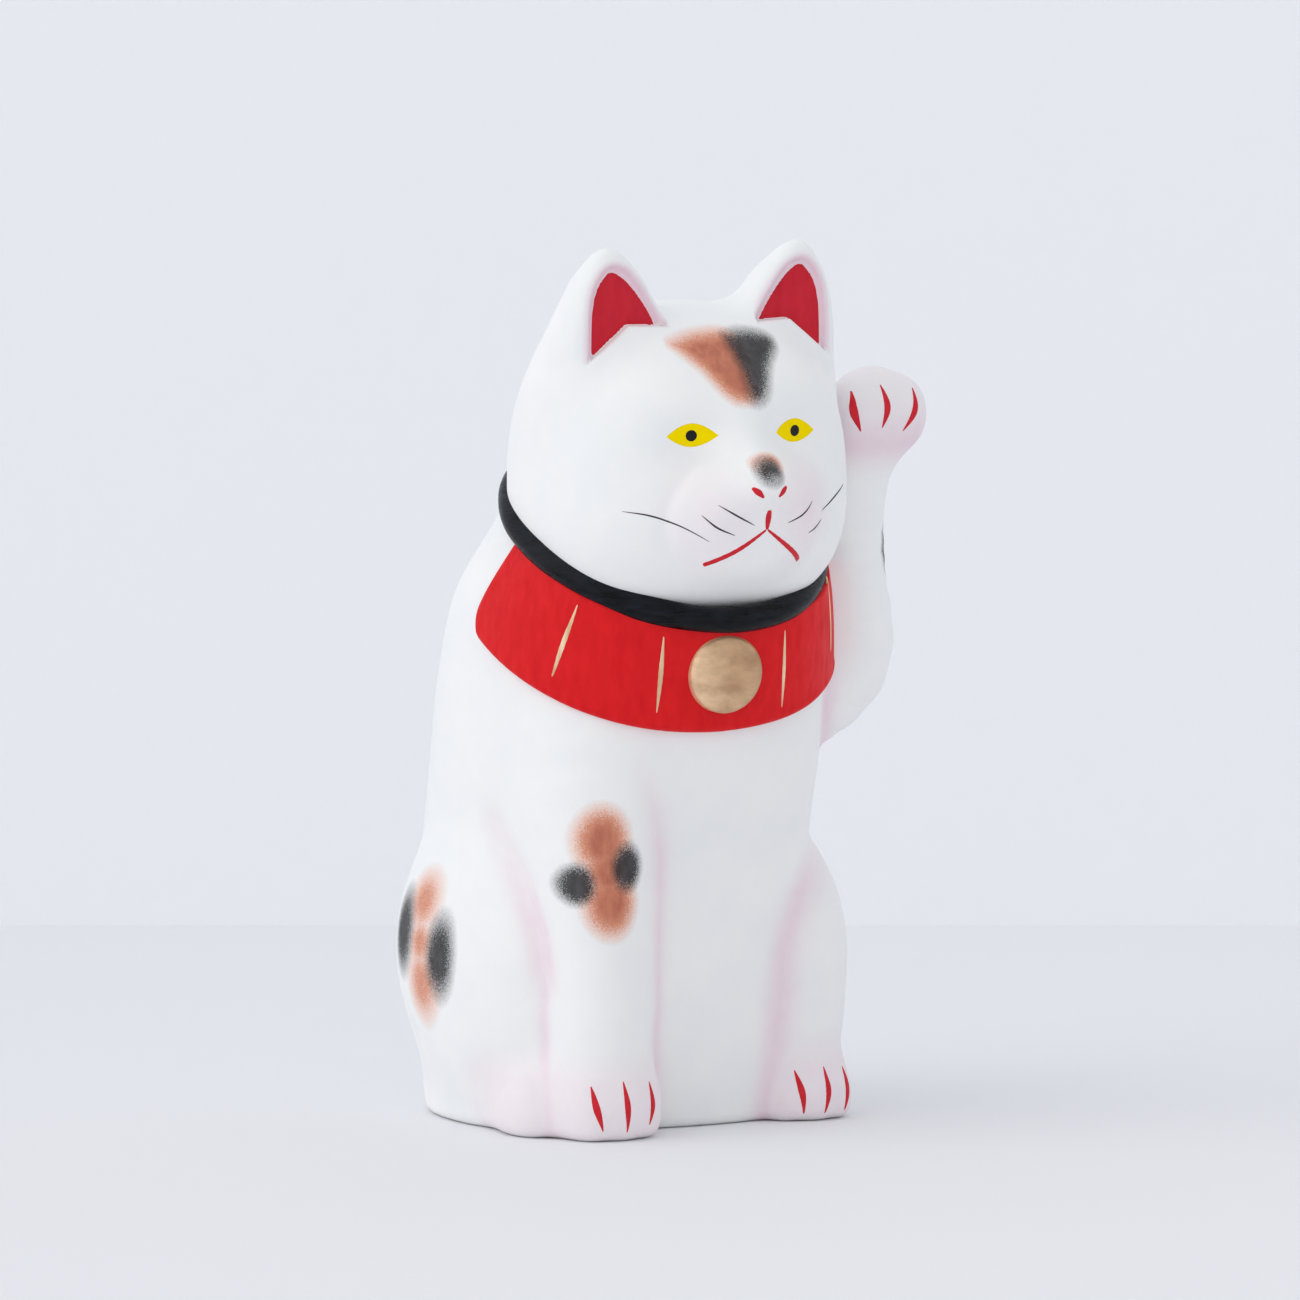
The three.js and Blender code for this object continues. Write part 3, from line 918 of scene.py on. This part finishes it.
def skin_piece(name, vertices, triangles, field, paint, thickness):
    """Makes one piece of clay from its part of a skin, in place of the CAD node of that name."""
    vertices, triangles = compact(vertices, triangles)
    normals, _ = gradient(field, vertices)
    points, faces, corner_normals = closed_shell(vertices, triangles, normals, thickness)
    attributes = {key: np.tile(values, 2) for key, values in paint(vertices).items()}
    made = make_object(name + "_clay", points, faces, WHITE, corner_normals, attributes)
    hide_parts(name)


def build_body():
    low, high = np.array([-56, -52, -2.0]), np.array([69, 60, 181.0])
    vertices, quads = surface_net(body, low, high, BODY_STEP)
    vertices = relaxed(body, vertices, quads)
    triangles = triangles_of(vertices, quads)
    under_neck = (vertices - NECK) @ NECK_UP
    raised = body_part("raised_foreleg", vertices) - torso(vertices)
    vertices, triangles, _ = split(vertices, triangles, np.where(raised > 0, under_neck, -5.0))
    foot = np.where(vertices[:, 2] < 1.5, torso(vertices) + BASE_WALL, 5.0)
    vertices, _, triangles = split(vertices, triangles, foot)
    for name in BODY_PARTS:
        gap = body_part(name, vertices) - torso(vertices)
        vertices, piece, triangles = split(vertices, triangles, gap)
        skin_piece(name, vertices, piece, body, body_paint, SHELL)
    vertices, piece, triangles = split(vertices, triangles, vertices[:, 1])
    skin_piece("torso_front_shell", vertices, piece, body, body_paint, SHELL)
    skin_piece("torso_back_shell", vertices, triangles, body, body_paint, SHELL)


def build_head():
    low, high = np.array([-42, -76, 112.0]), np.array([42, 16, 211.0])
    vertices, quads = surface_net(head, low, high, HEAD_STEP)
    vertices = relaxed(head, vertices, quads)
    triangles = triangles_of(vertices, quads)
    vertices, _, triangles = split(vertices, triangles, (vertices - NECK) @ NECK_UP)
    for name, side in (("left_ear", 1), ("right_ear", -1)):
        edge = ear_solid(vertices, side) - skull(vertices)
        hollow = ear_hollow(vertices, side) - 0.6
        vertices, piece, triangles = split(vertices, triangles, np.minimum(edge, hollow))
        skin_piece(name, vertices, piece, head, head_paint, EAR_SHELL)
    vertices, piece, triangles = split(vertices, triangles, vertices[:, 1] - HEAD_SEAM_Y)
    skin_piece("head_front_shell", vertices, piece, head, head_paint, SHELL)
    skin_piece("head_back_shell", vertices, triangles, head, head_paint, SHELL)


# ---------------------------------------------------------------- paint films


STROKE_ROWS, STROKE_COLUMNS = 30, 7
FILM_START = -100.0  # y in front of the cat from which paint is dropped onto it
FILM_SUNK = 0.06  # how far a film's edge lies under the skin
FILM_ROOT = 0.5  # how far its underside does


def cast(field, points):
    """Moves points back along Y until they meet a field's surface."""
    points = points.astype(float)
    for _ in range(90):
        points[:, 1] += np.clip(field(points), -1, 8) * 0.8
    return settle(field, points, 2)


def grid_faces(rows, columns, wrap=False):
    faces = []
    for i in range(rows - 1):
        for j in range(columns - (0 if wrap else 1)):
            a, b = i * columns + j, i * columns + (j + 1) % columns
            faces.append((a, b, b + columns, a + columns))
    return faces


def grid_rim(rows, columns):
    """The points round the edge of a grid, in order."""
    first_side = [i * columns for i in range(rows)]
    last_row = [(rows - 1) * columns + j for j in range(1, columns)]
    second_side = [i * columns + columns - 1 for i in range(rows - 2, -1, -1)]
    first_row = list(range(columns - 2, 0, -1))
    return (first_side + last_row + second_side + first_row)[::-1]


def closed_sheet(top, bottom, faces, rim):
    """Faces of a sheet with a top and a bottom grid of the same layout, and the rim between them."""
    count = len(top)
    sides = [(b, a, a + count, b + count) for a, b in zip(rim, rim[1:] + rim[:1])]
    return np.vstack([top, bottom]), [*faces, *[tuple(i + count for i in reversed(f)) for f in faces], *sides]


def oriented(points, faces, outward):
    """Turns every face round if the first one doesn't look the way the skin does."""
    a, b, c = (points[i] for i in faces[0][:3])
    if np.cross(b - a, c - a) @ outward < 0:
        return [tuple(reversed(f)) for f in faces]
    return faces


def lay_film(name, field, flat, faces, rim, crown, material):
    """Lays points (x, z) on the skin as a thin closed film. crown is 0 at its edge and its full height inside."""
    start = np.stack([flat[:, 0], np.full(len(flat), FILM_START), flat[:, 1]], 1)
    top = cast(field, start)
    normals, _ = gradient(field, top)
    lift = crown - FILM_SUNK
    points, all_faces = closed_sheet(top + normals * lift[:, None], top - normals * FILM_ROOT, faces, rim)
    make_object(name, points, oriented(points, all_faces, normals[0]), material)


def brush_stroke(name, field, line, widths, material, height=0.16, wobble=0.0):
    """A painted stroke through points (x, z), with a width at each, laid on the skin."""
    rows, columns = STROKE_ROWS, STROKE_COLUMNS
    path = curve_points(np.column_stack([line, widths]), rows)
    ahead = np.gradient(path[:, :2], axis=0)
    ahead /= np.linalg.norm(ahead, axis=1)[:, None] + 1e-9
    aside = np.stack([-ahead[:, 1], ahead[:, 0]], 1)
    across = np.linspace(-1, 1, columns)
    ripple = 1 + wobble * np.sin(np.arange(rows) * 1.9 + len(name))
    half = np.maximum(path[:, 2] / 2, 0.03) * ripple
    flat = path[:, None, :2] + aside[:, None] * across[None, :, None] * half[:, None, None]
    ends = np.minimum(np.linspace(0, 1, rows), np.linspace(1, 0, rows)) * 8
    crown = np.clip(ends, 0, 1)[:, None] * (1 - across[None] ** 2)
    crown = (height + FILM_SUNK) * np.sqrt(crown).reshape(-1)
    faces, rim = grid_faces(rows, columns), grid_rim(rows, columns)
    lay_film(name, field, flat.reshape(-1, 2), faces, rim, crown, material)


def blob(name, field, outline, centre, material, height=0.16, rings=9, around=56):
    """A filled painted shape. outline(angle) gives its edge as (x, z) measured from the centre."""
    angles = np.linspace(0, 2 * math.pi, around, endpoint=False)
    edge = np.array([outline(a) for a in angles])
    shares = np.linspace(0.04, 1, rings)
    flat = (np.array(centre) + edge[None] * shares[:, None, None]).reshape(-1, 2)
    crown = np.repeat((height + FILM_SUNK) * np.sqrt(1 - shares**6), around)
    faces = grid_faces(rings, around, wrap=True)
    faces.append(tuple(range(around - 1, -1, -1)))
    rim = [(rings - 1) * around + j for j in range(around)]
    lay_film(name, field, flat, faces, rim, crown, material)


def almond(half_width, above, below, tilt=0.0):
    """An eye's outline: two arcs that meet in soft points."""

    def edge(angle):
        x = math.cos(angle)
        z = (1 - abs(x) ** 1.9) * (above if math.sin(angle) > 0 else -below)
        return x * half_width, z + x * tilt

    return edge


def circle(radius):
    return lambda angle: (radius * math.cos(angle), radius * math.sin(angle))


# The whiskers on the cat's left and right cheek, from the tip to the muzzle, seen from the front.
WHISKERS = {
    "left": [
        [(14.3, 149.7), (10.0, 146.9), (5.2, 145.1)],
        [(19.2, 144.9), (15.7, 143.2), (12.2, 142.2)],
        [(30.0, 151.6), (25.2, 149.2), (19.4, 146.1)],
    ],
    "right": [
        [(-11.6, 150.0), (-7.6, 147.4), (-3.0, 144.9)],
        [(-14.8, 147.6), (-11.8, 144.7), (-7.6, 142.7)],
        [(-29.0, 147.9), (-23.6, 147.0), (-18.6, 145.0), (-12.4, 141.0)],
    ],
}
# The widths along a whisker, for each number of points that it can have.
WHISKER_WIDTHS = {3: [0.12, 0.5, 0.15], 4: [0.1, 0.45, 0.35, 0.1]}


def build_face():
    for name, side in (("left", 1), ("right", -1)):
        eye, pupil = almond(6.1, 3.1, 2.65, -0.1 * side), circle(1.62)
        blob(name + "_eye", head, eye, (13.3 * side, 165.1), EYE_YELLOW)
        blob(name + "_pupil", head, pupil, (13.4 * side, 165.2), PUPIL_BLACK, 0.26, 5, 28)
        nostril = [(4.5 * side, 153.9), (3.3 * side, 152.9), (1.9 * side, 151.5)]
        brush_stroke(name + "_nostril", head, nostril, [0.7, 1.6, 0.5], STROKE_RED)
        mouth = [(0, 144.0), (5.7 * side, 139.9), (12.6 * side, 135.3)]
        brush_stroke(name + "_mouth", head, mouth, [0.6, 1.2, 1.4], STROKE_RED, wobble=0.05)
        for number, line in enumerate(WHISKERS[name]):
            widths = WHISKER_WIDTHS[len(line)]
            brush_stroke(f"{name}_whisker_{number + 1}", head, line, widths, WHISKER_BLACK, 0.1)
    philtrum = [(0, 148.6), (0, 146.6), (0, 143.8)]
    brush_stroke("philtrum", head, philtrum, [1.1, 1.7, 0.8], STROKE_RED)


# The red in an ear: its outer side from the tip down, its inner side from the tip down, and the top of its foot.
EAR_RED_OUTER = [(25.4, 202.4), (28.4, 198.4), (30.0, 192), (30.3, 181.2)]
EAR_RED_INNER = [(23.9, 202.4), (20.6, 199.8), (16.6, 194.8), (12.6, 188.3)]
EAR_RED_FOOT = (20.9, 188.5)
EAR_RED_MIDDLE = (24.0, 192.0)
EAR_RED_POINTS = 96


def ear_floor(p):
    """The flat floor of the ears' hollows."""
    return EAR_FACE + EAR_DEPTH - p[:, 1]


def build_ear_paint():
    """The red reaches a little further inwards in the cat's right ear."""
    outer = curve_points(EAR_RED_OUTER, 20)
    inner = curve_points(EAR_RED_INNER, 20)
    corners = np.vstack([outer, EAR_RED_FOOT, inner[::-1], outer[:1]])
    lengths = np.concatenate([[0], np.cumsum(np.hypot(*np.diff(corners, axis=0).T))])
    places = np.linspace(0, lengths[-1], EAR_RED_POINTS + 1)[:-1]
    edge = np.stack([np.interp(places, lengths, corners[:, i]) for i in (0, 1)], 1) - EAR_RED_MIDDLE
    for name, side, reach in (("left", 1, 1.0), ("right", -1, 1.14)):
        mirrored = edge * (side, 1)
        mirrored[:, 0] *= np.where(edge[:, 0] < 0, reach, 1)

        def outline(angle, mirrored=mirrored):
            return mirrored[int(round(angle / (2 * math.pi) * EAR_RED_POINTS)) % EAR_RED_POINTS]

        middle = (EAR_RED_MIDDLE[0] * side, EAR_RED_MIDDLE[1])
        blob(name + "_ear_red", ear_floor, outline, middle, EAR_RED, 0.25, 7, EAR_RED_POINTS)


# For each claw: its top, the middle of its bow and its foot, as (x, z) seen from the front.
CLAWS = {
    "standing": [
        [(-32.2, 13.4), (-31.4, 8.0), (-29.8, 2.6)],
        [(-24.8, 14.4), (-24.1, 8.3), (-24.0, 2.2)],
        [(-17.2, 13.8), (-16.5, 8.3), (-17.5, 3.4)],
    ],
    "left_hind": [
        [(26.9, 12.4), (28.2, 7.4), (28.8, 1.8)],
        [(34.2, 13.0), (34.9, 7.2), (33.9, 1.8)],
        [(40.2, 12.4), (41.0, 6.9), (39.9, 1.9)],
    ],
    "raised": [
        [(43.6, 170.6), (43.3, 165.6), (44.8, 161.0)],
        [(50.4, 171.9), (51.2, 166.6), (50.0, 161.6)],
        [(59.0, 170.8), (58.6, 165.6), (55.6, 160.6)],
    ],
}


def build_claws():
    for paw, claws in CLAWS.items():
        for number, line in enumerate(claws):
            brush_stroke(f"{paw}_claw_{number + 1}", body, line, [0.3, 1.75, 0.3], STROKE_RED)


# ---------------------------------------------------------------- collar, bib and bell


def from_neck(across, back, up):
    """Points given across the neck plane, back along it and up from it."""
    return NECK + np.outer(across, (1, 0, 0)) + np.outer(back, NECK_BACK) + np.outer(up, NECK_UP)


def build_collar():
    """A slightly uneven roll of clay round the neck, fullest by the cat's right cheek."""
    around, section = 220, 22
    points = []
    for i in range(around):
        angle = 2 * math.pi * i / around
        length = COLLAR_FRONT if math.sin(angle) < 0 else COLLAR_BACK
        fuller = COLLAR_FULLER * math.exp(-(((angle - COLLAR_FULL_AT) / 0.6) ** 2))
        tube = COLLAR_TUBE * (1 + 0.035 * math.sin(5 * angle + 1) + 0.025 * math.sin(11 * angle)) + fuller
        turn = 2 * math.pi * np.arange(section) / section
        ripple = 1 + 0.02 * np.sin(3 * turn + 7 * angle)
        out = tube * np.cos(turn) * ripple
        up = tube * 0.98 * np.sin(turn) * ripple + fuller
        points.append(from_neck(math.cos(angle) * (COLLAR_SIDE + out), math.sin(angle) * (length + out), up))
    points = np.vstack(points)
    faces = []
    for i in range(around):
        for j in range(section):
            a, b = i * section, ((i + 1) % around) * section
            k = (j + 1) % section
            faces.append((a + j, b + j, b + k, a + k))
    made = make_object("collar_roll", points, faces, COLLAR_PAINT)
    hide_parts("collar_cord")


def bib_edge(share):
    """How far back the bib runs, in the neck's frame, at a share of the way from its top to its hem."""
    up = BIB_TOP + (BIB_HEM - BIB_TOP) * share
    into = np.clip((BIB_HEM + BIB_CORNER - up) / BIB_CORNER, 0, 1)
    return BIB_END - BIB_CORNER * (1 - np.sqrt(1 - into**2)), up


def bib_surface(turn, share):
    """The point of the torso under the bib, for a turn from -1 at its right end to 1 at its left end."""
    back_limit, up = bib_edge(share)
    up = up + BIB_RISE * share * ramp(turn, 0, 0.5)
    centre_back = -8.0
    reach = 80.0
    end_angle = np.arctan2(34.0, -(back_limit - centre_back))
    angle = turn * end_angle
    across = np.sin(angle) * reach
    back = centre_back - np.cos(angle) * reach
    outer = from_neck(across, back, up)
    inner = from_neck(across * 0, np.full_like(back, centre_back), up)
    direction = inner - outer
    direction /= np.linalg.norm(direction, axis=1)[:, None]
    points = outer
    for _ in range(60):
        points = points + direction * np.clip(torso(points), -1, 30)[:, None] * 0.8
    return points


def build_bib():
    """A raised apron over the torso's front, with rounded edges."""
    rows, columns = 34, 220
    share, turn = np.meshgrid(np.linspace(0, 1, rows), np.linspace(-1, 1, columns), indexing="ij")
    share, turn = share.reshape(-1), turn.reshape(-1)
    base = bib_surface(turn, share)
    normals, _ = gradient(torso, base)
    hem = (1 - share) * (BIB_TOP - BIB_HEM)
    ends = (1 - np.abs(turn)) * 60
    inwards = np.minimum(hem, ends)
    rounded = np.sqrt(1 - (1 - ramp(inwards, 0, BIB_ROUNDING)) ** 2)
    lift = BIB_THICK * rounded + BIB_LIP * fade(inwards - 1.8, 1.2)
    faces, rim = grid_faces(rows, columns), grid_rim(rows, columns)
    points, faces = closed_sheet(base + normals * lift[:, None], base - normals * 1.0, faces, rim)
    made = make_object("bib_apron", points, oriented(points, faces, normals[0]), BIB_PAINT)
    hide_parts("bib")


def bib_field(p):
    """The bib's front surface."""
    return torso(p) - BIB_THICK


BELL_DOME = 3.0  # how far the bell's middle stands in front of its edge
BELL_RIDGE = 0.2  # a fine ridge near that edge


def build_bell():
    """A domed disc, slightly dented, in the CAD bell's place, with a paler painted highlight on its right side and
    foot.
    """
    low, high = box_mm("bell")
    centre = (low + high) / 2
    radius = (high[0] - low[0]) / 2 - 0.1
    back = high[1]
    rings, around = 26, 72
    points = []
    for i in range(rings):
        r = radius * math.sin(math.pi / 2 * min(1, i / (rings - 4)))
        share = min(1, r / radius)
        front = low[1] + 0.15 + BELL_DOME * (1 - math.sqrt(max(0, 1 - share**2.2)))
        front -= BELL_RIDGE * math.exp(-(((share - 0.9) / 0.035) ** 2))
        if i > rings - 4:
            front += (i - rings + 4) * (back - front + 1.5) / 3
        for j in range(around):
            angle = 2 * math.pi * j / around
            dent = 0.12 * math.sin(9 * share + 2 * angle) * share * (1 - share) * 4
            out = r * (1.0 + 0.006 * math.sin(3 * angle + 1))
            x, z = centre[0] + out * math.cos(angle), centre[2] + out * math.sin(angle)
            points.append((x, front + dent, z))
    faces = grid_faces(rings, around, wrap=True)
    faces.append(tuple(range((rings - 1) * around, rings * around)))
    points = np.array(points)
    from_middle = points - centre
    # how strong the bell's painted highlight is: strongest on its right side and towards its foot
    painted_highlight = np.clip(0.1 - from_middle[:, 0] / 9, 0, 1) + 0.5 * np.clip((-2 - from_middle[:, 2]) / 7, 0, 1)
    faces = oriented(points, faces, np.array((0, -1.0, 0)))
    attributes = {"painted_highlight": np.minimum(painted_highlight, 1)}
    made = make_object("bell_disc", points, faces, BELL_GOLD, attributes=attributes)
    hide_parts("bell")


# The gold strokes on the bib: each one's line as (x, z) seen from the front, and its widths.
GOLD_STROKES = [
    ([(-32.7, 125.6), (-35.0, 116.4), (-36.8, 107.4)], [0.2, 0.95, 0.3]),
    ([(-16.4, 118.4), (-16.6, 108.9), (-16.9, 99.2)], [0.3, 1.3, 0.3]),
    ([(14.9, 118.4), (15.3, 108.6), (15.5, 98.6)], [0.3, 1.2, 0.3]),
    ([(31.7, 128.6), (33.2, 119.0), (34.0, 110.0)], [0.2, 0.8, 0.3]),
]


def build_bib_strokes():
    for number, (line, widths) in enumerate(GOLD_STROKES):
        name = f"gold_stroke_{number + 1}"
        brush_stroke(name, bib_field, line, widths, STROKE_GOLD, 0.12, wobble=0.05)


# ---------------------------------------------------------------- stage


def plane(name, corners, material):
    mesh = bpy.data.meshes.new(name)
    mesh.from_pydata(corners, [], [(0, 1, 2, 3)])
    mesh.materials.append(material)
    made = bpy.data.objects.new(name, mesh)
    bpy.context.scene.collection.objects.link(made)


def stage_material(name, colour, one_sided=False):
    """Matt paper. A one-sided sheet is clear from behind, so that it never hides the cat."""
    nodes = Nodes(name)
    nodes.set(Base_Color=colour, Roughness=0.75)
    nodes.shader.inputs["Specular IOR Level"].default_value = 0.2
    if one_sided:
        from_behind = nodes.add("ShaderNodeNewGeometry").outputs["Backfacing"]
        clear = nodes.add("ShaderNodeBsdfTransparent").outputs[0]
        paper = nodes.shader.outputs[0]
        sheet = nodes.add("ShaderNodeMixShader", {0: from_behind, 1: paper, 2: clear})
        nodes.put(nodes.tree.nodes["Material Output"].inputs["Surface"], sheet.outputs[0])
    return nodes.material


VIEW_TURN = math.radians(-27)
VIEW_UP = math.radians(6.3)
RIGHT = np.array([math.cos(VIEW_TURN), math.sin(VIEW_TURN), 0])
AHEAD = np.array([-math.sin(VIEW_TURN), math.cos(VIEW_TURN), 0])
UP = np.array([0, 0, 1.0])
CAMERA_DISTANCE = 5.0  # this and the next two are in metres
WALL_BEHIND = 0.359
STAGE_REACH = 4.0
CAMERA_AIM = np.array([4.7, -2.4, 109.0]) * MM
LENS_PER_METRE = 118.5  # focal length in millimetres for each metre of distance
KEY_DIRECTION = RIGHT * 0.85 - AHEAD * 0.05 - UP * 0.42


def build_stage():
    floor = stage_material("floor_white", srgb(240, 240, 243))
    wall = stage_material("wall_white", srgb(250, 251, 254), one_sided=True)
    foot = AHEAD * WALL_BEHIND
    left, right = -RIGHT * STAGE_REACH, RIGHT * STAGE_REACH
    top = UP * STAGE_REACH
    plane("wall", [tuple(foot + c) for c in (left, right, right + top, left + top)], wall)
    near, far = -AHEAD * STAGE_REACH, AHEAD * STAGE_REACH
    plane("floor", [tuple(c) for c in (near + left, near + right, far + right, far + left)], floor)


def build_lights():
    """A soft pale surround, and one very broad light from the upper left."""
    world = bpy.data.worlds.new("studio")
    world.use_nodes = True
    background = world.node_tree.nodes["Background"]
    background.inputs["Color"].default_value = (0.95, 0.972, 0.995, 1)
    background.inputs["Strength"].default_value = 0.785
    bpy.context.scene.world = world
    sun = bpy.data.lights.new("key", "SUN")
    sun.energy = 1.36
    sun.angle = math.radians(105)
    made = bpy.data.objects.new("key", sun)
    bpy.context.scene.collection.objects.link(made)
    made.rotation_mode = "QUATERNION"
    made.rotation_quaternion = Vector(KEY_DIRECTION.tolist()).to_track_quat("-Z", "Y")


def build_camera():
    data = bpy.data.cameras.new("camera")
    data.sensor_width = 36
    data.lens = LENS_PER_METRE * CAMERA_DISTANCE
    made = bpy.data.objects.new("camera", data)
    bpy.context.scene.collection.objects.link(made)
    back = UP * math.sin(VIEW_UP) - AHEAD * math.cos(VIEW_UP)
    made.location = CAMERA_AIM + back * CAMERA_DISTANCE
    made.rotation_mode = "QUATERNION"
    made.rotation_quaternion = Vector((-back).tolist()).to_track_quat("-Z", "Y")
    data.clip_end = 50
    bpy.context.scene.camera = made


def finish_looks():
    """Plain colour handling, and bare clay on the base plate, which stays the CAD mesh."""
    view = bpy.context.scene.view_settings
    view.view_transform = "Standard"
    view.look = "None"
    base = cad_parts["base_plate"]
    base.data.materials.clear()
    base.data.materials.append(BARE)


build_camera()
build_stage()
build_lights()
build_body()
build_head()
build_face()
build_ear_paint()
build_claws()
build_collar()
build_bib()
build_bib_strokes()
build_bell()
finish_looks()
